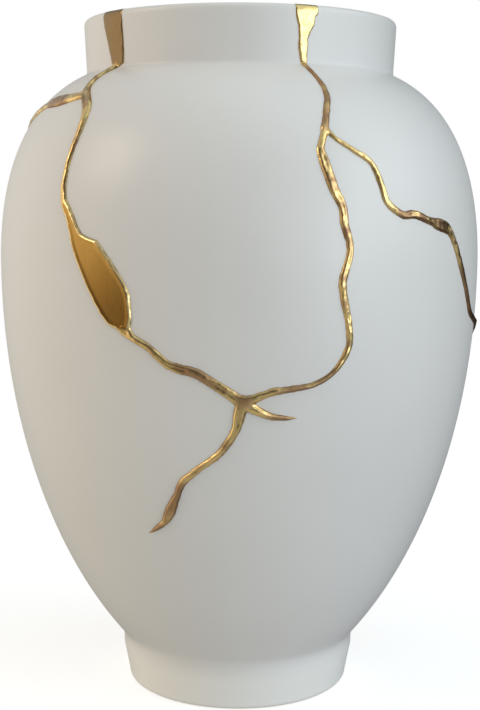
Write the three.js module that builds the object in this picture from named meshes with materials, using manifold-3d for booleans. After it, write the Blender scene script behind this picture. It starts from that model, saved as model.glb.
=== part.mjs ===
// A white ceramic vase, broken and mended with raised gold seams.
// Millimetres, +Z up, standing on its foot at z = 0, with the mended side facing -Y.
// Angles on the vase are in degrees, 0 at the front and growing towards +X.

import * as THREE from "three";
import { mergeVertices } from "three/addons/utils/BufferGeometryUtils.js";
import Module from "manifold-3d";

// Driving sizes of the turned vase
const HEIGHT = 300;
const WALL = 6;
const FLOOR = { height: 10, cornerReach: 14, cornerBend: 4 };
const FOOT = { bottomRadius: 51, topRadius: 53.5, height: 16, edgeRound: 3, filletShare: 0.6 };
const UNDERSIDE = { ringWidth: 8, recess: 2.5, slope: 2 };
const WAIST = { radius: 58.5, height: 28.5, lean: 38, handle: 49 };
const BELLY = { radius: 107.5, height: 194, handleDown: 67, handleUp: 34 };
const NECK = { radius: 68.5, height: 276.5, lean: 65, handle: 33.5, fillet: 2.5 };
const LIP = { radius: 69.5, round: 2.4 };

// Driving sizes of the gold: how far it stands out, how deep it goes and the gap that it leaves
const BEAD = { rise: 0.9, riseShare: 0.4, crown: 0.35, crownShare: 0.1, slopeShare: 0.28 };
const ROOT = { share: 0.6, leastHalf: 0.25, throughWall: 10, inlaid: 2.2 };
const GAP = 0.3;
const CHANNEL_LIFT = 1;
const ABOVE_LIP = 6;

// Fineness of the facets
const SEGMENTS = 44;
const STEPS = { line: 1, fillet: 3, lowerBody: 7, shoulder: 8, crease: 2, lip: 3, footEdge: 2 };
const STEPS_PER_SEAM_POINT = 1.25;
const FINER = 12;
const WELD = 1e-4;

// Seam routes on the outside, as [angle, height, width] at each bend
const JUNCTION = [0.9, 146, 4.2];

const LEFT_SEAM = [
  [-50.1, 301, 12.5], [-49.8, 294, 11.8], [-49.1, 288, 10.4], [-48.4, 281.5, 7.2], [-48.6, 276.5, 4.6],
  [-49.5, 272.5, 3.2], [-48.7, 268, 3.4], [-46.9, 264.7, 4.4], [-42.6, 259, 4.6], [-41.1, 251.5, 3.4],
  [-41.7, 240.5, 2.5], [-42.1, 231, 2.6], [-41.6, 222.5, 3], [-38.2, 215, 4.4], [-36.4, 209, 7.6],
  [-33.8, 203.5, 12.6], [-30.4, 194, 15.4], [-27.8, 185.5, 14.2], [-26.2, 178.5, 10.6], [-24.7, 173, 5.6],
  [-22.5, 169.5, 3], [-19.1, 166, 2.8], [-15.3, 160, 2.8], [-12.3, 158, 3.2], [-8.9, 156.5, 3.2],
  [-3.9, 151, 3.8],
];

const RIGHT_SEAM = [
  [22.4, 301, 10.8], [22.5, 294.5, 9.6], [22.2, 290, 5.8], [22, 284.5, 4.2], [22, 280, 3],
  [22.4, 274.5, 1.9], [23.1, 267.5, 2.2], [23, 262.5, 2.5], [22, 258, 2.8], [19.6, 249.5, 2.9],
  [18.3, 242, 3.4], [18.8, 236.5, 4.1], [20.2, 227, 4], [21.9, 220, 3.7], [22.3, 213.5, 3.5],
  [23.5, 206, 3.2], [23, 200.5, 3.4], [21.7, 192.5, 3.9], [22.4, 186.5, 3.6], [23.7, 172.5, 3.3],
  [23.2, 164.5, 3.2], [20.2, 156.5, 2.7], [16, 152, 2.6], [11.6, 150.5, 2.7], [7.5, 150, 2.9],
  [4.7, 148, 3.5],
];

const LEFT_BRANCH = [
  [-46.9, 264.7, 3], [-52.7, 264, 3.4], [-58.9, 263.2, 5.4], [-65.5, 262.5, 4.4], [-70.5, 260.8, 3.6],
  [-78.5, 257.5, 3], [-87, 254, 3.2], [-95, 247, 2.6], [-104, 242.5, 2], [-112, 237.5, 0.8],
];

const RIGHT_BRANCH = [
  [19.6, 250.5, 2.4], [21.8, 246.2, 2], [25.4, 242.2, 2.4], [29.9, 236.9, 2.6], [31.8, 229.5, 2.6],
  [33.1, 221.5, 2.7], [37.2, 216.7, 3.1], [40.4, 216.9, 3.2], [45.9, 213.9, 3.8], [50, 212.3, 4.6],
  [53.3, 210.1, 3.6], [55.7, 204.5, 3], [58.7, 195.7, 3.3], [62.4, 186, 2.6], [64.9, 179.4, 2.6],
  [67.2, 175, 3], [72, 171.6, 2.8], [79, 168.6, 2.8], [86, 163.5, 3.2], [94, 155, 2.6],
  [101, 150.5, 2], [108, 144.5, 0.8],
];

const LOWER_BRANCH = [
  JUNCTION, [0.2, 140.5, 4], [-0.6, 133.5, 3.2], [-3.9, 124.5, 2.9], [-8.9, 117.5, 2.8], [-12.9, 112, 2.9],
  [-14.4, 105.7, 3.3], [-17, 98.6, 4.2], [-18.6, 94, 2.6], [-20.7, 91.2, 1.6], [-23.4, 88.2, 0.6],
];

const SPUR = [JUNCTION, [3.6, 142.6, 3], [6.5, 139.8, 2.6], [10, 138.5, 1.8], [12.7, 138.6, 0.6]];

const ceramic = new THREE.MeshStandardMaterial({ color: 0xdcdbd8, roughness: 0.42, metalness: 0 });
const gold = new THREE.MeshStandardMaterial({ color: 0xb88a3c, roughness: 0.25, metalness: 1 });

const wasm = await Module();
wasm.setup();

const radians = THREE.MathUtils.degToRad;
const at = (radius, height) => new THREE.Vector2(radius, height);

// The outline of the outside, from the foot's lower edge up to the lip, as curves with their step counts.
function outsideCurves() {
  const footBottom = at(FOOT.bottomRadius, FOOT.edgeRound);
  const footTop = at(FOOT.topRadius, FOOT.height);
  const filletReach = (WAIST.height - FOOT.height) * FOOT.filletShare;
  const waist = at(WAIST.radius, WAIST.height);
  const rising = at(Math.sin(radians(WAIST.lean)), Math.cos(radians(WAIST.lean)));
  const belly = at(BELLY.radius, BELLY.height);
  const neck = at(NECK.radius, NECK.height);
  const falling = at(Math.sin(radians(NECK.lean)), -Math.cos(radians(NECK.lean)));
  const shoulderEnd = neck.clone().addScaledVector(falling, NECK.fillet);
  const collarStart = at(NECK.radius, NECK.height + NECK.fillet);
  const collarEnd = at(LIP.radius, HEIGHT - LIP.round);

  const fillet = new THREE.CubicBezierCurve(
    footTop,
    at(FOOT.topRadius, FOOT.height + filletReach),
    waist.clone().addScaledVector(rising, -filletReach),
    waist,
  );
  const lowerBody = new THREE.CubicBezierCurve(
    waist,
    waist.clone().addScaledVector(rising, WAIST.handle),
    at(BELLY.radius, BELLY.height - BELLY.handleDown),
    belly,
  );
  const shoulder = new THREE.CubicBezierCurve(
    belly,
    at(BELLY.radius, BELLY.height + BELLY.handleUp),
    neck.clone().addScaledVector(falling, NECK.handle),
    shoulderEnd,
  );
  return [
    [new THREE.LineCurve(footBottom, footTop), STEPS.line],
    [fillet, STEPS.fillet],
    [lowerBody, STEPS.lowerBody],
    [shoulder, STEPS.shoulder],
    [new THREE.QuadraticBezierCurve(shoulderEnd, neck, collarStart), STEPS.crease],
    [new THREE.LineCurve(collarStart, collarEnd), STEPS.line],
  ];
}

// Points along a run of curves, each shared end given once.
function pointsAlong(curves, finer = 1) {
  const points = [];
  for (const [curve, steps] of curves) {
    const run = curve.getPoints(steps * finer);
    points.push(...(points.length ? run.slice(1) : run));
  }
  return points;
}

const OUTSIDE = pointsAlong(outsideCurves());
const FINE_OUTSIDE = pointsAlong(outsideCurves(), FINER);

// The inside follows the outside at the wall's thickness, down to a round corner at the floor.
function insidePoints() {
  const top = HEIGHT - LIP.round;
  const wall = [];
  for (const [number, point] of OUTSIDE.entries()) {
    if (point.y < WAIST.height || point.y >= top) continue;
    const along = OUTSIDE[number + 1].clone().sub(OUTSIDE[number - 1]).normalize();
    wall.push(at(point.x - along.y * WALL, point.y + along.x * WALL));
  }
  const foot = wall[0];
  const corner = new THREE.QuadraticBezierCurve(
    at(foot.x - FLOOR.cornerReach, FLOOR.height),
    at(foot.x - FLOOR.cornerBend, FLOOR.height),
    foot,
  );
  return [...corner.getPoints(STEPS.fillet), ...wall.slice(1), at(LIP.radius - WALL, top)];
}

const INSIDE = insidePoints();

// The lip, rounded over from the outside to the inside.
function lipPoints() {
  const inner = LIP.radius - WALL;
  const start = HEIGHT - LIP.round;
  const over = new THREE.QuadraticBezierCurve(
    at(LIP.radius, start),
    at(LIP.radius, HEIGHT),
    at(LIP.radius - LIP.round, HEIGHT),
  );
  const into = new THREE.QuadraticBezierCurve(
    at(inner + LIP.round, HEIGHT),
    at(inner, HEIGHT),
    at(inner, start),
  );
  return [...over.getPoints(STEPS.lip).slice(1), ...into.getPoints(STEPS.lip).slice(0, -1)];
}

// The underside: a flat ring to stand on, round a shallow recess.
function undersidePoints() {
  const ringOuter = FOOT.bottomRadius - FOOT.edgeRound;
  const ringInner = ringOuter - UNDERSIDE.ringWidth;
  const edge = new THREE.QuadraticBezierCurve(
    at(ringOuter, 0),
    at(FOOT.bottomRadius, 0),
    at(FOOT.bottomRadius, FOOT.edgeRound),
  );
  return [
    at(0, UNDERSIDE.recess),
    at(ringInner - UNDERSIDE.slope, UNDERSIDE.recess),
    at(ringInner, 0),
    ...edge.getPoints(STEPS.footEdge).slice(0, -1),
  ];
}

// A closed mesh with its shared vertices merged, as a solid for cutting and joining.
function toSolid(geometry) {
  const bare = new THREE.BufferGeometry();
  bare.setAttribute("position", geometry.getAttribute("position"));
  bare.setIndex(geometry.getIndex());
  const merged = mergeVertices(bare, WELD);
  const corners = merged.getIndex().array;
  const triangles = [];
  for (let i = 0; i < corners.length; i += 3) {
    const [a, b, c] = corners.slice(i, i + 3);
    if (a !== b && b !== c && c !== a) triangles.push(a, b, c);
  }
  return new wasm.Manifold(new wasm.Mesh({
    numProp: 3,
    vertProperties: new Float32Array(merged.getAttribute("position").array),
    triVerts: new Uint32Array(triangles),
  }));
}

// A solid as a named mesh.
function toMesh(name, solid, material) {
  const { numProp, vertProperties, triVerts } = solid.getMesh();
  const geometry = new THREE.BufferGeometry();
  geometry.setAttribute("position", new THREE.BufferAttribute(new Float32Array(vertProperties), numProp));
  geometry.setIndex(new THREE.BufferAttribute(new Uint32Array(triVerts), 1));
  geometry.computeVertexNormals();
  const mesh = new THREE.Mesh(geometry, material);
  mesh.name = name;
  return mesh;
}

// Turns an outline about the vase's axis.
function turned(points) {
  return toSolid(new THREE.LatheGeometry(points, SEGMENTS).rotateX(Math.PI / 2));
}

// A place on the outside and its outward direction. The collar's line is carried on above the lip.
function onOutside(angle, height) {
  const found = FINE_OUTSIDE.findIndex((point) => point.y >= height);
  const upper = found < 0 ? FINE_OUTSIDE.length - 1 : Math.max(found, 1);
  const low = FINE_OUTSIDE[upper - 1];
  const rise = FINE_OUTSIDE[upper].clone().sub(low);
  const radius = low.x + (rise.x * (height - low.y)) / rise.y;
  const away = new THREE.Vector3(Math.sin(radians(angle)), -Math.cos(radians(angle)), 0);
  const place = away.clone().multiplyScalar(radius).setZ(height);
  const outward = away.multiplyScalar(rise.y).setZ(-rise.x).normalize();
  return { place, outward };
}

// The gold's section, as [side, lift] pairs: a rounded bead over a narrowing root.
function beadSection(width, depth) {
  const half = width / 2;
  const rise = Math.min(BEAD.rise, width * BEAD.riseShare);
  const crown = rise + Math.min(BEAD.crown, width * BEAD.crownShare);
  const shoulder = half - Math.min(width * BEAD.slopeShare, BEAD.rise);
  const root = Math.max(half * ROOT.share, ROOT.leastHalf);
  return [
    [-root, -depth], [root, -depth], [half, 0], [shoulder, rise], [0, crown], [-shoulder, rise], [-half, 0],
  ];
}

// The channel that takes the gold, wider all round by the gap and open to the outside.
function channelSection(width, depth) {
  const half = width / 2 + GAP;
  const root = Math.max((width / 2) * ROOT.share, ROOT.leastHalf) + GAP;
  const floor = -depth - GAP;
  return [[-root, floor], [root, floor], [half, 0], [half, CHANNEL_LIFT], [-half, CHANNEL_LIFT], [-half, 0]];
}

// Stops along a route on the outside, each with its way along, way out, way across and width.
function stopsAlong(route) {
  const bends = route.map((bend) => new THREE.Vector3(...bend));
  const line = new THREE.CatmullRomCurve3(bends, false, "centripetal");
  const steps = Math.round((route.length - 1) * STEPS_PER_SEAM_POINT);
  const stops = line.getPoints(steps).map(({ x, y, z }) => ({ ...onOutside(x, y), width: z }));
  return stops.map((stop, number) => {
    const before = stops[Math.max(number - 1, 0)].place;
    const after = stops[Math.min(number + 1, steps)].place;
    const along = after.clone().sub(before).normalize();
    const side = along.clone().cross(stop.outward).normalize();
    return { ...stop, along, side };
  });
}

// The same stops with one more beyond each end.
function lengthened(stops, reach) {
  const first = stops[0];
  const last = stops.at(-1);
  const beforeFirst = { ...first, place: first.place.clone().addScaledVector(first.along, -reach) };
  const afterLast = { ...last, place: last.place.clone().addScaledVector(last.along, reach) };
  return [beforeFirst, ...stops, afterLast];
}

// Sweeps a section through the stops, its width changing on the way.
function swept(stops, depth, sectionOf) {
  const sections = stops.map((stop) => sectionOf(stop.width, depth).map(([across, lift]) => (
    stop.place.clone().addScaledVector(stop.side, across).addScaledVector(stop.outward, lift)
  )));
  const size = sections[0].length;
  const last = (sections.length - 1) * size;
  const index = [];
  for (let start = 0; start < last; start += size) {
    for (let corner = 0; corner < size; corner += 1) {
      const a = start + corner;
      const b = start + ((corner + 1) % size);
      index.push(a, b + size, b, a, a + size, b + size);
    }
  }
  for (let corner = 1; corner < size - 1; corner += 1) {
    index.push(0, corner, corner + 1);
    index.push(last, last + corner + 1, last + corner);
  }
  const geometry = new THREE.BufferGeometry().setFromPoints(sections.flat());
  geometry.setIndex(index);
  return toSolid(geometry);
}

const joined = (solids) => solids.reduce((sum, solid) => sum.add(solid));

// The ceramic before it broke.
const wholeVase = turned([
  ...undersidePoints(),
  ...OUTSIDE,
  ...lipPoints(),
  ...INSIDE.slice().reverse(),
  at(0, FLOOR.height),
]);

// What the gold keeps clear of: the hollow inside, and everything above the lip.
const clearSpace = turned([
  at(0, FLOOR.height),
  ...INSIDE,
  at(LIP.radius - WALL, HEIGHT),
  at(LIP.radius + ABOVE_LIP, HEIGHT),
  at(LIP.radius + ABOVE_LIP, HEIGHT + ABOVE_LIP),
  at(0, HEIGHT + ABOVE_LIP),
]);

// The seam round the shard runs from the rim, by the junction, to the rim again, right through the wall.
// The branches are cracks that stay in the outer part of the wall.
const shardSeam = stopsAlong([...LEFT_SEAM, JUNCTION, ...RIGHT_SEAM.slice().reverse()]);
const branches = [LEFT_BRANCH, RIGHT_BRANCH, LOWER_BRANCH, SPUR].map(stopsAlong);

const seams = joined([
  swept(shardSeam, ROOT.throughWall, beadSection),
  ...branches.map((stops) => swept(stops, ROOT.inlaid, beadSection)),
]).subtract(clearSpace);

const channels = joined([
  swept(lengthened(shardSeam, ABOVE_LIP), ROOT.throughWall, channelSection),
  ...branches.map((stops) => swept(lengthened(stops, GAP), ROOT.inlaid, channelSection)),
]);

// The channels part the ceramic in two: the vase, and the shard that the gold encloses.
const [body, shard] = wholeVase.subtract(channels).decompose().sort((a, b) => b.volume() - a.volume());

const vase = new THREE.Group();
vase.add(toMesh("vase_body", body, ceramic));
vase.add(toMesh("front_shard", shard, ceramic));
vase.add(toMesh("gold_seams", seams, gold));

export default vase;
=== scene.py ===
# %% [markdown]
# # A white vase mended with gold
# This lesson rebuilds the looks of a white ceramic vase that once broke and was put together again with
# raised gold seams. The solid model gives every size and place, and here each piece gets its smooth
# shape and its finish. Blender works in metres; drawing sizes are in millimetres and are multiplied by
# MM when they reach a mesh.

import math

import bpy
import numpy as np
from mathutils import Matrix, Vector, noise
from mathutils.geometry import interpolate_bezier


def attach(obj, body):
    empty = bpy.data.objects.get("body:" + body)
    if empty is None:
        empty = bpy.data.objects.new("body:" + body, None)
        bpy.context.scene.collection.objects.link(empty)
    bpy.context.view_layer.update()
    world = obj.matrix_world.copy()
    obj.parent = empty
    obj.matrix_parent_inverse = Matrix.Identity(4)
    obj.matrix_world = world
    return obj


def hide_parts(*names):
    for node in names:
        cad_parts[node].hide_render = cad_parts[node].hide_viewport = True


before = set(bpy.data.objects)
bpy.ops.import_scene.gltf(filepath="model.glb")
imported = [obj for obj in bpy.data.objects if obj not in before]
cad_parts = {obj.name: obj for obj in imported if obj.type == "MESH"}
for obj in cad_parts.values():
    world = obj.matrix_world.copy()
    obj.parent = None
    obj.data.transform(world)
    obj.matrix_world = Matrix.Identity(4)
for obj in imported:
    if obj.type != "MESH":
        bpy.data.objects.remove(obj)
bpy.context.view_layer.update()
MM = 0.001

# %% [markdown]
# ## The camera
# The vase was photographed from straight in front, a little above its middle and from about two vase
# heights away, with the camera tipped down by seven degrees. A camera turns about its own axes, so three
# small turns are multiplied together: the turn to the side, the tip and the roll.

# %% Camera
CAMERA_PLACE = (0.0, -0.591, 0.2252)
CAMERA_TURN = math.radians(-0.052)
CAMERA_TIP = math.radians(90 - 7.196)
CAMERA_ROLL = math.radians(0.268)
LENS, SENSOR = 65.24, 36

bpy.ops.object.select_all(action="DESELECT")
bpy.ops.object.camera_add(location=CAMERA_PLACE)
camera = bpy.context.object
camera.name = "front_camera"
camera.data.lens = LENS
camera.data.sensor_width = SENSOR
turn = Matrix.Rotation(CAMERA_TURN, 3, "Z")
tip = Matrix.Rotation(CAMERA_TIP, 3, "X")
roll = Matrix.Rotation(CAMERA_ROLL, 3, "Z")
camera.rotation_euler = (turn @ tip @ roll).to_euler()
bpy.context.scene.camera = camera
print("camera at", CAMERA_PLACE, "lens", LENS, "mm")

# %% [markdown]
# ## The outline of the clay
# A thrown pot is its outline turned once round the axis. The outline here is drawn with the same curves
# as the solid model, only with more points: up the outside from the foot, over the lip, and down the
# inside at the thickness of the wall. Each place is a radius and a height in millimetres, and a PULL says
# how strongly a curve keeps to its direction there.

# %% Curves for an outline
def bend(start, leaving, arriving, end, steps):
    """Places along a curve that leaves start towards one handle and arrives at end from another."""
    knots = [Vector((*place, 0)) for place in (start, leaving, arriving, end)]
    return [(place.x, place.y) for place in interpolate_bezier(*knots, steps + 1)]


def rounded(start, corner, end, steps):
    """Places along a rounded corner."""
    leaving = [a + (c - a) * 2 / 3 for a, c in zip(start, corner)]
    arriving = [b + (c - b) * 2 / 3 for b, c in zip(end, corner)]
    return bend(start, leaving, arriving, end, steps)


def from_place(place, lean, reach):
    """A place reached from another, lean degrees away from straight up."""
    return place[0] + reach * math.sin(math.radians(lean)), place[1] + reach * math.cos(math.radians(lean))


def chained(*runs):
    """Several runs of places as one, with each shared end given once."""
    whole = list(runs[0])
    for run in runs[1:]:
        whole += run[1:]
    return whole

# %% The outside, the lip and the inside
HEIGHT = 300
WALL = 6
FLOOR_HEIGHT, FLOOR_ROUND, FLOOR_CORNER = 10, 14, 4
RECESS = 2.5
FOOT_UNDER, FOOT_EDGE, FOOT_TOP = (48, 0), (51, 3), (53.5, 16)
FOOT_PULL = 7.5
WAIST, WAIST_LEAN = (58.5, 28.5), 38
WAIST_PULL_DOWN, WAIST_PULL_UP = 7.5, 49
BELLY = (107.5, 194)
BELLY_PULL_DOWN, BELLY_PULL_UP = 67, 34
NECK, NECK_LEAN = (68.5, 276.5), 115
NECK_PULL = 33.5
CREASE = 1.3
LIP_OUT, LIP_ROUND = 69.5, 2.4


def outside_places(fine):
    """The outside from the foot's lower edge to the start of the lip."""
    foot_corner = (FOOT_EDGE[0], FOOT_UNDER[1])
    above_foot = (FOOT_TOP[0], FOOT_TOP[1] + FOOT_PULL)
    below_waist = from_place(WAIST, WAIST_LEAN, -WAIST_PULL_DOWN)
    above_waist = from_place(WAIST, WAIST_LEAN, WAIST_PULL_UP)
    below_belly = (BELLY[0], BELLY[1] - BELLY_PULL_DOWN)
    above_belly = (BELLY[0], BELLY[1] + BELLY_PULL_UP)
    before_neck = from_place(NECK, NECK_LEAN, NECK_PULL)
    shoulder_end = from_place(NECK, NECK_LEAN, CREASE)
    collar_start = (NECK[0], NECK[1] + CREASE)
    collar_end = (LIP_OUT, HEIGHT - LIP_ROUND)
    return chained(
        rounded(FOOT_UNDER, foot_corner, FOOT_EDGE, 3 * fine),
        bend(FOOT_EDGE, FOOT_EDGE, FOOT_TOP, FOOT_TOP, 2 * fine),
        bend(FOOT_TOP, above_foot, below_waist, WAIST, 5 * fine),
        bend(WAIST, above_waist, below_belly, BELLY, 18 * fine),
        bend(BELLY, above_belly, before_neck, shoulder_end, 16 * fine),
        rounded(shoulder_end, NECK, collar_start, 4 * fine),
        bend(collar_start, collar_start, collar_end, collar_end, 3 * fine),
    )


def lip_places(fine):
    """The lip, rounded over from the outside to the inside."""
    inner = LIP_OUT - WALL
    start = HEIGHT - LIP_ROUND
    over = rounded((LIP_OUT, start), (LIP_OUT, HEIGHT), (LIP_OUT - LIP_ROUND, HEIGHT), 3 * fine)
    into = rounded((inner + LIP_ROUND, HEIGHT), (inner, HEIGHT), (inner, start), 3 * fine)
    return over + into


def inside_places(outside):
    """The inside, one wall's thickness in from the outside, from the lip down to the floor's corner."""
    wall = []
    for before, place, after in zip(outside, outside[1:], outside[2:]):
        if place[1] < WAIST[1]:
            continue
        across, up = after[0] - before[0], after[1] - before[1]
        length = math.hypot(across, up)
        wall.append((place[0] - up / length * WALL, place[1] + across / length * WALL))
    foot = wall[0]
    floor_end = (foot[0] - FLOOR_ROUND, FLOOR_HEIGHT)
    corner = rounded(floor_end, (foot[0] - FLOOR_CORNER, FLOOR_HEIGHT), foot, 8)
    return chained(corner, wall)[::-1]


outside = outside_places(2)
inside = [(LIP_OUT - WALL, HEIGHT - LIP_ROUND)] + inside_places(outside)
underside = [(0, RECESS), (20, RECESS), (38, RECESS), (40, 0)]
outline = underside + chained(outside, lip_places(2), inside) + [(20, FLOOR_HEIGHT), (0, FLOOR_HEIGHT)]
print("outline of", len(outline), "places")

# %% [markdown]
# ## The turned vase
# The vase could start as a cylinder that is scaled ring by ring, but a potter's way is shorter. One
# point is extruded along the outline, and the line that this draws is spun once round the axis, as on a
# wheel. The seam and the two poles are merged afterwards, and the faces are turned outwards.

# %% Spin the outline
TURN_STEPS = 256


def line_from(name, places):
    """A new object with one open line of edges, extruded from a single point."""
    bpy.ops.object.select_all(action="DESELECT")
    bpy.ops.mesh.primitive_plane_add(size=0.01)
    line = bpy.context.object
    line.name = name
    bpy.ops.object.mode_set(mode="EDIT")
    bpy.ops.mesh.select_all(action="SELECT")
    bpy.ops.mesh.merge(type="CENTER")
    bpy.ops.transform.translate(value=places[0])
    for before, after in zip(places, places[1:]):
        bpy.ops.mesh.extrude_region_move(TRANSFORM_OT_translate={"value": after - before})
    return line


def spin_round(steps):
    """Turns the line in edit mode into a closed body, with merged seams and faces that point outwards."""
    bpy.ops.mesh.select_all(action="SELECT")
    bpy.ops.mesh.spin(steps=steps, angle=math.tau, center=(0, 0, 0), axis=(0, 0, 1))
    bpy.ops.mesh.select_all(action="SELECT")
    bpy.ops.mesh.remove_doubles(threshold=0.00001)
    bpy.ops.mesh.normals_make_consistent(inside=False)
    bpy.ops.object.mode_set(mode="OBJECT")


glazed_vase = line_from("glazed_vase", [Vector((r, 0, h)) * MM for r, h in outline])
spin_round(TURN_STEPS)
bpy.ops.object.shade_smooth_by_angle(angle=math.radians(50))
print("vase:", len(glazed_vase.data.polygons), "faces")

# %% [markdown]
# ## Where the gold runs
# The gold is a network: two seams that come down from the rim and meet, two cracks that leave them round
# the sides, and two short cracks below the meeting. Each route is a list of bends with an angle in degrees
# (0 at the front, growing to the right), a height and the width of the bead there. Three gaps where chips
# were lost are filled with gold, and their outlines are lists of angles and heights. The last list gives
# places, with their reach, where the gold is painted a dull brown.

# %% Routes and fills
MEETING = (0.8, 145.3, 4.4)
LEFT_SEAM = [
    (-48.4, 281.5, 7), (-48.9, 276.5, 3.4), (-50.1, 272.8, 2.6), (-49, 268, 3.2), (-46.9, 264.5, 4.2),
    (-42.7, 259, 4.6), (-41.2, 251.5, 3.2), (-41.7, 240.5, 2.6), (-41.9, 231, 2.6), (-41.3, 222.5, 3.2),
    (-38.7, 215, 2.8), (-36.7, 209, 3.4), (-33.8, 203.5, 5), (-30.4, 194, 6), (-27.8, 185.5, 6),
    (-26.2, 178.5, 6), (-24.6, 173, 5), (-22.5, 169.4, 3), (-19.1, 166, 2.9), (-15.3, 160, 3.2),
    (-12.3, 158, 3.8), (-8.9, 156.5, 3.8), (-3.9, 151, 4), MEETING,
]
RIGHT_SEAM = [
    (21.5, 284.5, 3.8), (21.7, 280, 3), (21.9, 274.3, 1.8), (22.9, 267.4, 2), (22.8, 262.4, 2.4),
    (21.6, 258, 2.6), (19.7, 249.5, 2.9), (18.3, 243.4, 2.8), (18, 241, 3.6), (18.6, 236.4, 4.2),
    (20.1, 227, 4.2), (21.8, 220, 3.6), (22.1, 213.4, 3.6), (23.2, 206, 3), (23, 200.5, 3.1),
    (21.7, 192.5, 3.4), (21.9, 186.5, 3.2), (23.5, 172.5, 2.8), (23.2, 164.5, 2.9), (20.2, 156.4, 2.2),
    (16, 152, 2.2), (11.6, 150.5, 2.4), (7.6, 149.6, 3), (4.6, 147.7, 3.1), MEETING,
]
LEFT_CRACK = [
    (-46.9, 264.3, 3.4), (-52.7, 263.4, 5), (-58.9, 262.8, 6.4), (-65, 262.2, 5), (-70, 260.8, 3.8),
    (-74, 259, 3.2), (-79, 257.4, 3), (-87, 254, 3.2), (-95, 247, 2.6), (-104, 242.5, 2), (-112, 237.5, 0.8),
]
RIGHT_CRACK = [
    (19.7, 250.3, 2.4), (21.8, 246.2, 2), (25.4, 242.2, 2.2), (29.9, 236.9, 2.5), (31.7, 229.4, 2.8),
    (33.1, 221.5, 3), (37.2, 216.8, 3.1), (40.4, 217, 3.4), (45.9, 214.2, 3.2), (48.4, 213, 4.8),
    (51.4, 211.8, 5.2), (53.2, 210, 3.8), (55.6, 204.5, 3.1), (58.6, 195.7, 3.2), (62.3, 186, 2.6),
    (64.8, 179.5, 2.4), (67.2, 175, 2.8), (72, 171.6, 2.6), (79, 168.6, 2.8), (86, 163.5, 3.2),
    (94, 155, 2.6), (101, 150.5, 2), (108, 144.5, 0.8),
]
LOWER_CRACK = [
    MEETING, (0.2, 140.3, 4.6), (-0.8, 133.6, 3.3), (-4.1, 124.7, 3), (-9.1, 117.8, 2.7), (-12.9, 112, 3.1),
    (-14.7, 105.9, 2.9), (-16.9, 98.6, 4.4), (-18.6, 94, 2.9), (-20.7, 91.2, 2.1), (-23.4, 88.2, 0.6),
]
SHORT_CRACK = [MEETING, (3.5, 142.4, 3.8), (6.5, 139.9, 2.8), (10, 138.9, 1.8), (12.5, 138.8, 0.6)]

LEAF_FILL = [
    (-40.3, 221.4), (-38.9, 219), (-37.5, 215.4), (-36.3, 211.8), (-35.2, 209), (-33.3, 207.6),
    (-31, 206.7), (-29.4, 203.3), (-27.6, 199.6), (-26.3, 196.2), (-24.9, 192.8), (-23.8, 189.4),
    (-23, 185.6), (-22.8, 181.4), (-22.7, 177.2), (-23, 174), (-23.8, 172.2), (-25.2, 172.4),
    (-27.2, 173.1), (-28.5, 174.3), (-29.8, 177.1), (-30.8, 179.8), (-32.2, 184), (-33.6, 188.4),
    (-35, 193.5), (-36.3, 198.2), (-37.6, 203.6), (-38.7, 209.5), (-39.9, 215.3), (-41.4, 219.8),
]
LEFT_RIM_FILL = [
    (-51.5, 322), (-47, 322), (-44.9, 312), (-44.5, 300), (-44.4, 295.3), (-44.2, 289.3), (-44, 283.3),
    (-44.4, 278), (-46.6, 277), (-50.8, 278), (-52.6, 284.8), (-54.2, 291.5), (-55.5, 296.5),
    (-55.5, 301), (-54.5, 312),
]
RIGHT_RIM_FILL = [
    (21, 322), (25, 322), (26.6, 312), (26.9, 300), (26.6, 296.2), (25.7, 295.1), (25.3, 291.7), (24, 289.1),
    (23.1, 286.5), (22.9, 282.1), (22.9, 278.1), (22.5, 275.6), (21.6, 276), (20.8, 278.9), (20, 282.3),
    (19.8, 287.8), (19.6, 291.3), (18.6, 295.1), (18.3, 300), (19, 312),
]
# Places where the gold is painted a dull brown, each with its reach.
DULL_PLACES = [
    (22.2, 270, 9), (22.6, 262, 8), (20.8, 254, 8), (49.6, 212.8, 7), (60, 191, 10), (65.5, 178, 10),
    (-46.2, 261, 6), (-60, 263, 9), (-7.5, 155, 10), (12, 150.6, 11), (19, 155, 7), (-15.3, 104, 12),
    (1.2, 146.5, 5), (9, 139.4, 8), (-21, 91.5, 6),
]
print(len(DULL_PLACES), "worn places on the gold")

# %% [markdown]
# ## The glaze unrolled
# A bead that changes its width at every bend, forks and widens into flat fills can't be cut from a
# primitive tube. It is easier to work on the glaze unrolled like a label: across is the angle and along is
# the way up the outside, over the lip and down the inside. A place on the label and a height above the
# glaze then give a place in space.

# %% From the label to the vase
label_outside = outside_places(8)
label_lip = lip_places(8)
label_inside = [(LIP_OUT - WALL, HEIGHT - LIP_ROUND)] + inside_places(label_outside)
path = np.array(chained(label_outside, label_lip, label_inside[1:]))
way = np.concatenate([[0], np.cumsum(np.linalg.norm(np.diff(path, axis=0), axis=1))])
heading = np.gradient(path, way, axis=0)
heading /= np.linalg.norm(heading, axis=1)[:, None]
lip_way = way[len(label_outside) - 1]
inside_start = len(label_outside) + len(label_lip) - 1


def way_up(height):
    """How far along the label a height on the outside is. Above the lip's edge it runs on over the lip."""
    edge = HEIGHT - LIP_ROUND
    on_wall = np.interp(min(height, edge), path[:len(label_outside), 1], way[:len(label_outside)])
    return on_wall + max(height - edge, 0)


def way_down(height):
    """How far along the label a height on the inside wall is."""
    return np.interp(-height, -path[inside_start:, 1], way[inside_start:])


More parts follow.
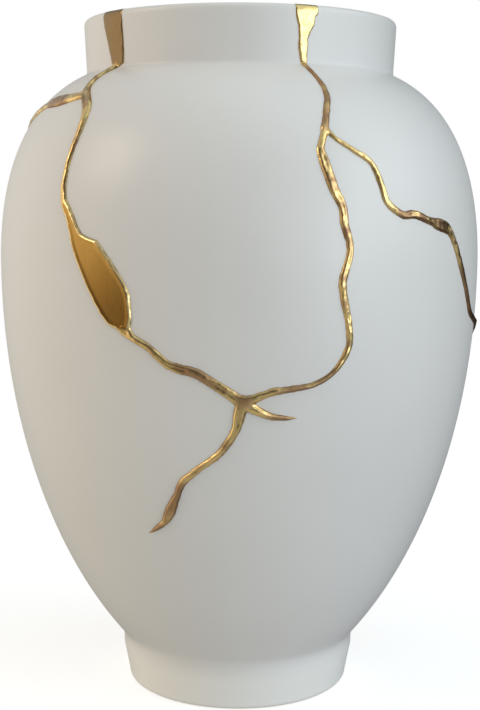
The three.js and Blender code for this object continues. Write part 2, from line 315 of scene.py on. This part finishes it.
def in_space(angle, along, lift):
    """Places in space, in metres, for places on the label and heights above the glaze."""
    radius = np.interp(along, way, path[:, 0]) + lift * np.interp(along, way, heading[:, 1])
    height = np.interp(along, way, path[:, 1]) - lift * np.interp(along, way, heading[:, 0])
    turned = np.radians(angle)
    return np.stack([radius * np.sin(turned), -radius * np.cos(turned), height], axis=1) * MM


print("label is", round(way[-1]), "mm long and the lip is at", round(lip_way))

# %% [markdown]
# ## How deep inside the gold each place is
# On a fine grid over the label, every point gets its distance to the nearest edge of the gold, positive
# inside. A route is a row of overlapping discs, a fill is an outline, and where two of them meet their
# distances are blended, so that the beads run into each other as poured lacquer does.

# %% Grid over the label
FINE = 0.45
FIRST_ANGLE, LAST_ANGLE = -115, 111
LOWEST_OUTSIDE, LOWEST_INSIDE = 84, 140
ANGLE_STEP = math.degrees(FINE / BELLY[0])
FAR = 9.0

columns = 2 * math.ceil((LAST_ANGLE - FIRST_ANGLE) / ANGLE_STEP / 2)
first_way = way_up(LOWEST_OUTSIDE)
rows = 2 * math.ceil((way_down(LOWEST_INSIDE) - first_way) / FINE / 2)
grid_angle = FIRST_ANGLE + ANGLE_STEP * np.arange(columns + 1)
grid_way = first_way + FINE * np.arange(rows + 1)
grid_radius = np.interp(grid_way, way, path[:, 0])
print("grid of", columns, "by", rows)

# %% Distances along a route
MM_A_DEGREE = 1.8
DISC_STEP = 0.3
DISC_SURROUND = 2.6
LEAST_WIDTH = 0.4


def discs_along(route):
    """Discs along a smooth line through a route's bends, each with an angle, a way along and a width."""
    bends = [Vector(place) for place in route]
    bends = [2 * bends[0] - bends[1]] + bends + [2 * bends[-1] - bends[-2]]
    discs = []
    for before, start, end, after in zip(bends, bends[1:], bends[2:], bends[3:]):
        size = math.hypot((end.x - start.x) * MM_A_DEGREE, end.y - start.y)
        steps = max(3, math.ceil(size / DISC_STEP))
        discs += interpolate_bezier(start, start + (end - before) / 6, end - (after - start) / 6, end, steps)
    return discs


def distance_to_route(route):
    """Distance inside the edge of a route over the grid, and the half width of the bead there."""
    depth = np.full((rows + 1, columns + 1), -FAR)
    half_width = np.full((rows + 1, columns + 1), 0.5)
    for angle, along, width in discs_along(route):
        half = max(width, LEAST_WIDTH) / 2
        reach = half + DISC_SURROUND
        radius = np.interp(along, way, path[:, 0])
        wide = math.degrees(reach / radius)
        left, right = np.searchsorted(grid_angle, (angle - wide, angle + wide))
        low, high = np.searchsorted(grid_way, (along - reach, along + reach))
        scale = np.radians(1) * (grid_radius[low:high] + radius) / 2
        aside = (grid_angle[left:right] - angle)[None, :] * scale[:, None]
        inside_disc = half - np.hypot(aside, (grid_way[low:high] - along)[:, None])
        window = (slice(low, high), slice(left, right))
        nearer = inside_disc > depth[window]
        depth[window] = np.where(nearer, inside_disc, depth[window])
        half_width[window] = np.where(nearer, half, half_width[window])
    return depth, half_width

# %% Distances to a fill's outline
def distance_to_fill(fill):
    """Distance inside the edge of a fill over the grid."""
    depth = np.full((rows + 1, columns + 1), -FAR)
    ends = np.array(fill)
    scale = np.radians(1) * np.interp(ends[:, 1].mean(), way, path[:, 0])
    low, high = np.searchsorted(grid_way, (ends[:, 1].min() - 3, ends[:, 1].max() + 3))
    left, right = np.searchsorted(grid_angle, (ends[:, 0].min() - 4, ends[:, 0].max() + 4))
    x, y = np.meshgrid(grid_angle[left:right] * scale, grid_way[low:high])
    nearest = np.full(x.shape, FAR)
    within = np.zeros(x.shape, bool)
    for (x0, y0), (x1, y1) in zip(ends * (scale, 1), np.roll(ends, -1, axis=0) * (scale, 1)):
        along = ((x - x0) * (x1 - x0) + (y - y0) * (y1 - y0)) / ((x1 - x0) ** 2 + (y1 - y0) ** 2)
        along = np.clip(along, 0, 1)
        nearest = np.minimum(nearest, np.hypot(x - x0 - along * (x1 - x0), y - y0 - along * (y1 - y0)))
        crosses = ((y0 > y) != (y1 > y)) & (x < x0 + (y - y0) * (x1 - x0) / (y1 - y0 if y1 != y0 else 1))
        within ^= crosses
    depth[low:high, left:right] = np.where(within, nearest, -nearest)
    return depth

# %% Blend the routes and fills
BLEND = 1.0
INNER_SHARE = 0.6
INNER_TOPS = ((LEFT_SEAM, (-49.2, 288, 6)), (RIGHT_SEAM, (22.8, 288, 6)))


def on_label(route, share=1.0, inner=False):
    """A route with its heights turned into ways along the label."""
    along = way_down if inner else way_up
    return [(angle, along(height), width * share) for angle, height, width in route]


def blended(first, second):
    """The deeper of two distances, with a soft step where they are nearly the same."""
    overlap = np.maximum(BLEND - np.abs(first - second), 0) / BLEND
    return np.maximum(first, second) + overlap ** 2 * BLEND / 4


routes = [on_label(r) for r in (LEFT_SEAM, RIGHT_SEAM, LEFT_CRACK, RIGHT_CRACK, LOWER_CRACK, SHORT_CRACK)]
for seam, top in INNER_TOPS:
    routes.append(on_label([top] + seam, INNER_SHARE, inner=True))

depth = np.full((rows + 1, columns + 1), -FAR)
half_width = np.full((rows + 1, columns + 1), 0.5)
for route in routes:
    route_depth, route_half = distance_to_route(route)
    half_width = np.where(route_depth > depth, route_half, half_width)
    depth = blended(depth, route_depth)
fills = {"amber": (LEAF_FILL, 1.1), "brown": (LEFT_RIM_FILL, 0.6), "pale": (RIGHT_RIM_FILL, 0.6)}
deep_in = {}
for tint, (fill, fill_edge) in fills.items():
    fill_depth = distance_to_fill([(angle, way_up(height)) for angle, height in fill])
    half_width = np.where(fill_depth > depth - 1, fill_edge, half_width)
    depth = blended(depth, fill_depth)
    deep_in[tint] = fill_depth
print("gold covers", round(float((depth > 0).sum()) * FINE * FINE / 100), "square centimetres of the label")

# %% [markdown]
# ## The gold
# The label starts as a grid primitive. What lies away from the gold is deleted, the rest is divided once
# more and extruded, which closes it underneath. Then every point goes to its place on the vase: the upper
# side rises over the glaze as a rounded bead, and outside the gold's edge it dips under the glaze, so the
# line where the two meet stays smooth. Some stretches have a groove down the middle. Two of the fills are
# flat, and the leaf-shaped one is hollow with a raised rim.

# %% Cut the gold out of a grid
SKIRT = 1.9


def grid_numbers(mesh):
    """The row and column of each point of the label in a mesh made from the grid."""
    flat = np.empty(len(mesh.vertices) * 3)
    mesh.vertices.foreach_get("co", flat)
    flat = flat.reshape(-1, 3)
    column = np.rint((flat[:, 0] + 1) / 2 * columns).astype(int)
    row = np.rint((flat[:, 1] + 1) / 2 * rows).astype(int)
    return row, column, flat[:, 2] > 0.5


bpy.ops.object.select_all(action="DESELECT")
bpy.ops.mesh.primitive_grid_add(x_subdivisions=columns // 2, y_subdivisions=rows // 2, size=2)
gold_mend = bpy.context.object
gold_mend.name = "gold_mend"
row, column, _ = grid_numbers(gold_mend.data)
gold_mend.data.polygons.foreach_set("select", np.zeros(len(gold_mend.data.polygons), bool))
gold_mend.data.edges.foreach_set("select", np.zeros(len(gold_mend.data.edges), bool))
gold_mend.data.vertices.foreach_set("select", depth[row, column] < -SKIRT)
bpy.context.tool_settings.mesh_select_mode = (True, False, False)
bpy.ops.object.mode_set(mode="EDIT")
bpy.ops.mesh.delete(type="VERT")
bpy.ops.mesh.select_all(action="SELECT")
bpy.ops.mesh.subdivide(number_cuts=1)
bpy.ops.mesh.select_all(action="SELECT")
bpy.ops.mesh.extrude_region_move(TRANSFORM_OT_translate={"value": (0, 0, 1)})
bpy.ops.object.mode_set(mode="OBJECT")
print("gold:", len(gold_mend.data.polygons), "faces")

# %% The edge and the crown of each bead
def ripple(size, layer):
    """Smooth unevenness between -1 and 1 at every point, with bumps of about a size in millimetres."""
    across = np.radians(angle) * np.interp(along, way, path[:, 0])
    return np.array([noise.noise(Vector((a / size, b / size, layer))) for a, b in zip(across, along)])


row, column, upper = grid_numbers(gold_mend.data)
angle, along = grid_angle[column], grid_way[row]
tints = {tint: np.clip((fill_depth[row, column] + 0.2) / 0.8, 0, 1) for tint, fill_depth in deep_in.items()}
uneven = 1 - 0.9 * tints["amber"]
inside_edge = depth[row, column] + 0.2 * ripple(3.2, 1) + 0.13 * ripple(1.4, 4)
# A narrow bead is as high as half its width, and a wide one stands about 1.2 mm high.
edge = np.clip(half_width[row, column], 0.35, 1.6)
crown = np.minimum(0.9, 0.8 * edge) + np.minimum(0.35, 0.2 * edge)
crown *= 1 + uneven * (0.24 * ripple(6, 2) + 0.16 * ripple(2.2, 5))
share = np.clip(inside_edge / edge, 0, 1)
bead = crown * np.sqrt(1 - (1 - share) ** 2)
print("beads up to", round(float(bead.max()), 2), "mm high")

# %% The hollow leaf, the grooves and the dull places
LEAF_RIM, LEAF_SLOPE, LEAF_HOLLOW = 0.9, 1.4, 0.45
GROOVE_START, GROOVE_DEPTH = 0.55, 0.36


def eased(part):
    """A smooth step from 0 to 1."""
    return part ** 2 * (3 - 2 * part)


middle = np.clip((deep_in["amber"][row, column] - LEAF_RIM) / LEAF_SLOPE, 0, 1)
bead -= LEAF_HOLLOW * eased(middle)
in_a_fill = np.maximum.reduce(list(tints.values()))
groove = np.clip((share - GROOVE_START) / (1 - GROOVE_START), 0, 1) * (1 - in_a_fill)
groove *= np.clip(0.35 + 1.6 * ripple(11, 6), 0, 1)
bead -= GROOVE_DEPTH * edge * eased(groove)
bead += 0.07 * ripple(1.5, 3) * share * uneven
# How strongly each point is painted a dull brown.
dulled = np.zeros(len(angle))
for dull_angle, dull_height, reach in DULL_PLACES:
    dull_way = way_up(dull_height)
    aside = np.radians(angle - dull_angle) * np.interp(dull_way, way, path[:, 0])
    dulled = np.maximum(dulled, np.clip(1.5 - 1.5 * np.hypot(aside, along - dull_way) / reach, 0, 1))
print("worn:", round(100 * float((dulled > 0.5).mean())), "percent of the points")

# %% Move every point to its place on the vase
ROOT = -2.6
LIP_THINNING = 0.82
DIP = 1.3

over_lip = np.clip((along - lip_way + 4) / 5, 0, 1)
bead *= 1 - LIP_THINNING * over_lip
lift = np.where(upper, bead + DIP * np.minimum(inside_edge, 0), ROOT)
lift = np.maximum(lift, ROOT)
gold_mend.data.vertices.foreach_set("co", in_space(angle, along, lift).astype(np.float32).ravel())
notes = {"from_edge": np.clip(inside_edge, 0, 4), "groove": groove, "dulled": dulled, **tints}
for name, values in notes.items():
    kept = gold_mend.data.attributes.new(name, "FLOAT", "POINT")
    kept.data.foreach_set("value", values.astype(np.float32))
gold_mend.data.update()
print("each point carries", ", ".join(notes))

# %% Smooth the gold and turn its faces outwards
bpy.ops.object.mode_set(mode="EDIT")
bpy.ops.mesh.select_all(action="SELECT")
bpy.ops.mesh.normals_make_consistent(inside=False)
bpy.ops.object.mode_set(mode="OBJECT")
settle = gold_mend.modifiers.new("settle", "SMOOTH")
settle.factor = 0.5
settle.iterations = 2
bpy.ops.object.modifier_apply(modifier=settle.name)
bpy.ops.object.shade_smooth()
print("gold:", len(gold_mend.data.polygons), "faces after smoothing")

# %% [markdown]
# ## Shader arithmetic
# A finish is a small sum: a colour here, a little darker there. Written as nodes such sums are long, so
# one class wraps a node's output and lets Python's own operators add the Math nodes.

# %% A value that can be calculated with
class Tone:
    """An output of a node tree, with arithmetic."""

    def __init__(self, tree, socket=None):
        self.tree = tree
        self.socket = socket

    def node(self, kind, settings=None, inputs=None, output=0):
        """A new node: its settings first, then the values or links of its inputs."""
        made = self.tree.nodes.new(kind)
        for name, setting in (settings or {}).items():
            setattr(made, name, setting)
        for name, given in (inputs or {}).items():
            if isinstance(given, Tone):
                self.tree.links.new(given.socket, made.inputs[name])
            else:
                made.inputs[name].default_value = given
        return Tone(self.tree, made.outputs[output])

    def math(self, operation, first, second=0.0):
        return self.node("ShaderNodeMath", {"operation": operation}, {0: first, 1: second})

    def __add__(self, other):
        return self.math("ADD", self, other)

    def __radd__(self, other):
        return self.math("ADD", other, self)

    def __sub__(self, other):
        return self.math("SUBTRACT", self, other)

    def __rsub__(self, other):
        return self.math("SUBTRACT", other, self)

    def __mul__(self, other):
        return self.math("MULTIPLY", self, other)

    def __pow__(self, other):
        return self.math("POWER", self, other)

    def most(self, other):
        return self.math("MAXIMUM", self, other)

    def between(self, low, high):
        """0 below low, 1 above high, and a smooth step between."""
        settings = {"interpolation_type": "SMOOTHSTEP"}
        return self.node("ShaderNodeMapRange", settings, {0: self, 1: low, 2: high})

    def blend(self, first, second):
        """One colour where this is 0 and another where it is 1."""
        return self.node("ShaderNodeMix", {"data_type": "RGBA"}, {0: self, 6: first, 7: second}, 2)


def new_finish(name):
    """A new material, with its shader and the start of its sums."""
    finish = bpy.data.materials.new(name)
    finish.use_nodes = True
    shader = finish.node_tree.nodes["Principled BSDF"]
    return finish, shader, Tone(finish.node_tree)


def feed(shader, **tones):
    """Links tones to a shader's sockets. An underscore in a name stands for a space."""
    for name, tone in tones.items():
        tone.tree.links.new(tone.socket, shader.inputs[name.replace("_", " ")])

# %% [markdown]
# ## The glaze
# The clay is covered with a satin white: light spreads softly over it, and only a broad sheen shows. It
# isn't quite even. The white drifts a little in tone, there are a few sunk specks from the firing, and the
# surface has the faint skin of a brushed coat. The foot is painted a brighter white, which is painted light
# bounced up from the floor, and the ring that it stands on is bare clay.

# %% Satin white
DIM_WHITE, CLEAR_WHITE = (0.78, 0.77, 0.765, 1), (0.8, 0.79, 0.785, 1)
# Painted light: a brighter white for the foot, standing in for light bounced up from the floor.
FOOT_BOUNCE_LIGHT_WHITE = (0.93, 0.92, 0.9, 1)
SPECK, BARE_CLAY = (0.42, 0.36, 0.29, 1), (0.66, 0.6, 0.52, 1)

satin_white, shader, tone = new_finish("satin_white")
place = tone.node("ShaderNodeTexCoord", output="Object")
cloud = tone.node("ShaderNodeTexNoise", None, {"Vector": place, "Scale": 14.0, "Detail": 3.0})
grain = tone.node("ShaderNodeTexNoise", None, {"Vector": place, "Scale": 900.0, "Detail": 2.0})
skin = tone.node("ShaderNodeTexNoise", None, {"Vector": place, "Scale": 180.0, "Detail": 3.0})
dots = tone.node("ShaderNodeTexVoronoi", None, {"Vector": place, "Scale": 55.0, "Randomness": 1.0})
pick = tone.node("ShaderNodeTexVoronoi", None, {"Vector": place, "Scale": 55.0, "Randomness": 1.0}, "Color")
rare = tone.node("ShaderNodeSeparateColor", None, {"Color": pick}).between(0.93, 0.95)
specks = (1 - dots.between(0.01, 0.03)) * rare
height = tone.node("ShaderNodeSeparateXYZ", None, {"Vector": place}, "Z")
bare_ring = 1 - height.between(0.0004, 0.0009)

white = cloud.between(0.35, 0.65).blend(DIM_WHITE, CLEAR_WHITE)
white = (specks * 0.5).blend(white, SPECK)
# Painted light: the lowest band of the foot is painted brighter, as floor light would make it.
foot_bounce_light = 1 - height.between(0.012, 0.022)
white = foot_bounce_light.blend(white, FOOT_BOUNCE_LIGHT_WHITE)
white = bare_ring.blend(white, BARE_CLAY)
gloss = 0.27 + cloud * 0.08 + grain * 0.04 + bare_ring * 0.4
relief = skin * 0.6 + grain * 0.25 - specks * 0.6
bump = tone.node("ShaderNodeBump", None, {"Strength": 0.25, "Distance": 0.00012, "Height": relief})
shader.inputs["Specular IOR Level"].default_value = 0.7
feed(shader, Base_Color=white, Roughness=gloss, Normal=bump)
glazed_vase.data.materials.append(satin_white)
print("glaze:", len(satin_white.node_tree.nodes), "nodes")

# %% [markdown]
# ## The gold leaf
# The seams are lacquer, laid on thick and dusted with gold, so they shine like metal but keep the
# lacquer's soft unevenness. The gold is thin along its edges, and the brown lacquer shows through there;
# it is also painted a dull brown at the dull places, and its grooves are painted lacquer brown as painted
# shade. The three fills are painted in different tones, from brown to pale yellow, as painted reflections of
# the room's dim and bright sides, so every point carries numbers that say how much it belongs to each. The
# leaf-shaped fill is also painted lighter towards its top as painted light, with a painted highlight on its
# rim.

# %% Mending gold
DULL_GOLD, BRIGHT_GOLD = (0.35, 0.205, 0.115, 1), (0.78, 0.56, 0.25, 1)
SHADED_AMBER, LIT_AMBER = (0.23, 0.125, 0.03, 1), (0.46, 0.28, 0.075, 1)
LEAF_RIM_HIGHLIGHT, PALE_REFLECTION_GOLD = (0.95, 0.74, 0.38, 1), (0.68, 0.52, 0.23, 1)
RIM_DARK_REFLECTION, LACQUER_BROWN = (0.235, 0.152, 0.073, 1), (0.13, 0.075, 0.035, 1)

mending_gold, shader, tone = new_finish("mending_gold")
place = tone.node("ShaderNodeTexCoord", output="Object")
drift = tone.node("ShaderNodeTexNoise", None, {"Vector": place, "Scale": 110.0, "Detail": 2.0})
grain = tone.node("ShaderNodeTexNoise", None, {"Vector": place, "Scale": 1400.0, "Detail": 2.0})
brush = tone.node("ShaderNodeTexNoise", None, {"Vector": place, "Scale": 420.0, "Detail": 3.0})
height = tone.node("ShaderNodeSeparateXYZ", None, {"Vector": place}, "Z")
from_edge, groove, dulled, amber, brown, pale = (
    tone.node("ShaderNodeAttribute", {"attribute_name": name}, output="Fac")
    for name in ("from_edge", "groove", "dulled", "amber", "brown", "pale")
)
bright = drift.between(0.32, 0.54) * (1 - dulled * 0.85)
thin = 1 - from_edge.between(0.02, 0.28)
# Painted highlight: a bright band just inside the leaf fill's edge, where its raised rim would catch the
# light.
leaf_rim_highlight = amber * from_edge.between(0.08, 0.25) * (1 - from_edge.between(0.7, 1.15))

colour = bright.blend(DULL_GOLD, BRIGHT_GOLD)
# Painted light: the leaf fill is painted lighter towards its top and darker towards its bottom, as light
# falls on it.
leaf_painted_light = height.between(0.176, 0.212).blend(SHADED_AMBER, LIT_AMBER)
colour = amber.blend(colour, leaf_painted_light)
colour = leaf_rim_highlight.blend(colour, LEAF_RIM_HIGHLIGHT)
# Painted reflection: the left rim fill is painted a dark brown, as a dim part of the room would show in it.
colour = brown.blend(colour, RIM_DARK_REFLECTION)
# Painted reflection: the right rim fill is painted a pale yellow, as a bright window would show in it.
colour = pale.blend(colour, PALE_REFLECTION_GOLD)
# Painted shade: the grooves are darkened with lacquer brown; along the thin edges the brown is the lacquer
# showing through.
colour = (thin * (0.55 - amber * 0.35) + groove * 0.4).blend(colour, LACQUER_BROWN)
rough = 0.32 - bright * 0.18 + grain * 0.06 + thin * 0.2
relief = brush * (0.7 - amber * 0.55) + grain * 0.3
bump = tone.node("ShaderNodeBump", None, {"Strength": 0.7, "Distance": 0.00022, "Height": relief})
shader.inputs["Metallic"].default_value = 1.0
feed(shader, Base_Color=colour, Roughness=rough, Normal=bump)
gold_mend.data.materials.append(mending_gold)
print("gold:", len(mending_gold.node_tree.nodes), "nodes")

# %% [markdown]
# ## Floor and light
# The vase stands in a plain white sweep: a floor that curves up all round. It is seen, but it doesn't
# light the vase, so the light can be set by itself. Soft light comes from every side, warmer from the
# left, cooler and stronger from the right, and weaker from where the camera stands. Two soft boxes are
# added: a tall narrow one at the front, like a window, and a warm one from the upper left. Each lobe of the
# light has an azimuth, an elevation, a sharpness and a colour.

# %% White sweep
sweep_line = chained(
    [(0, 0), (0.15, 0), (0.4, 0), (1.6, 0)],
    rounded((1.6, 0), (2.6, 0), (2.6, 1.0), 10),
    [(2.6, 1.0), (2.6, 4.0)],
)
white_sweep = line_from("white_sweep", [Vector((r, 0, h)) for r, h in sweep_line])
spin_round(96)
bpy.ops.object.shade_smooth()
sweep_finish, shader, tone = new_finish("sweep_white")
place = tone.node("ShaderNodeTexCoord", output="Object")
away = tone.node("ShaderNodeVectorMath", {"operation": "LENGTH"}, {0: place}, "Value")
glow = tone.node("ShaderNodeEmission", None, {"Color": (1, 1, 1, 1), "Strength": 1.0})
lit = tone.node("ShaderNodeBsdfDiffuse", None, {"Color": (0.62, 0.62, 0.62, 1)})
dim_glow = tone.node("ShaderNodeEmission", None, {"Color": (1, 1, 1, 1), "Strength": 0.62})
near = tone.node("ShaderNodeAddShader", None, {0: lit, 1: dim_glow})
mixed = tone.node("ShaderNodeMixShader", None, {0: away.between(0.25, 0.6), 1: near, 2: glow})
output = sweep_finish.node_tree.nodes["Material Output"]
sweep_finish.node_tree.links.new(mixed.socket, output.inputs["Surface"])
white_sweep.data.materials.append(sweep_finish)
for ray in ("diffuse", "glossy", "transmission", "volume_scatter", "shadow"):
    setattr(white_sweep, "visible_" + ray, False)
print("sweep:", len(white_sweep.data.polygons), "faces")

# %% Light from all round
def towards(azimuth, elevation):
    """A direction: azimuth 0 is towards the camera and grows to the right."""
    a, e = math.radians(azimuth), math.radians(elevation)
    return Vector((math.sin(a) * math.cos(e), -math.cos(a) * math.cos(e), math.sin(e)))


LOBES = [
    (-80, 10, 4, (0.9, 0.75, 0.64)),
    (-130, 10, 4, (0.7, 0.73, 0.71)),
    (48, 6, 26, (2.6, 2.8, 2.95)),
    (76, 21, 12, (2.0, 2.1, 2.25)),
    (70, 50, 5, (0.6, 0.66, 0.58)),
    (48, -18, 8, (0.32, 0.37, 0.39)),
    (0, 90, 4, (0.58, 0.68, 0.72)),
    (0, -90, 3, (0.27, 0.24, 0.26)),
    (-90, -35, 4, (0.42, 0.4, 0.26)),
    (0, -40, 4, (0.43, 0.46, 0.42)),
]
world = bpy.data.worlds.new("soft_room")
bpy.context.scene.world = world
world.use_nodes = True
tone = Tone(world.node_tree)
look = tone.node("ShaderNodeTexCoord", output="Generated")
light = (0.02, 0.02, 0.02)
for azimuth, elevation, sharpness, colour in LOBES:
    facing = tone.node("ShaderNodeVectorMath", {"operation": "DOT_PRODUCT"},
                       {0: look, 1: towards(azimuth, elevation)}, "Value")
    strength = facing.most(0.0) ** sharpness
    lobe = tone.node("ShaderNodeVectorMath", {"operation": "SCALE"}, {0: colour, "Scale": strength})
    light = tone.node("ShaderNodeVectorMath", {"operation": "ADD"}, {0: light, 1: lobe})
background = world.node_tree.nodes["Background"]
world.node_tree.links.new(light.socket, background.inputs["Color"])
print("light from", len(LOBES), "directions")

# %% Soft boxes
def soft_box(name, azimuth, elevation, distance, size, power, colour):
    """A rectangular light that faces the vase's middle."""
    target = Vector((0, 0, 0.17))
    bpy.ops.object.light_add(type="AREA", location=target + towards(azimuth, elevation) * distance)
    lamp = bpy.context.object
    lamp.name = name
    lamp.data.shape = "RECTANGLE"
    lamp.data.size, lamp.data.size_y = size
    lamp.data.energy = power
    lamp.data.color = colour
    lamp.rotation_euler = (target - lamp.location).to_track_quat("-Z", "Y").to_euler()
    print(name, "of", power, "watts")


soft_box("tall_window", 18, 10, 1.3, (0.12, 0.5), 0.4, (0.97, 0.98, 1.0))
soft_box("soft_left", -67, 34, 1.3, (0.5, 0.5), 2.2, (1.0, 0.82, 0.62))
bpy.context.scene.view_settings.view_transform = "Standard"

# %% [markdown]
# ## Ride, replace and finish
# Every piece rides on the vase's one body and stands for the solids that it shows. The clay is one piece
# here, because the joint between the vase and its loose shard lies wholly under the gold.

# %% Tie the pieces to the frame
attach(glazed_vase, "root")
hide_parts("vase_body", "front_shard")
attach(gold_mend, "root")
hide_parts("gold_seams")
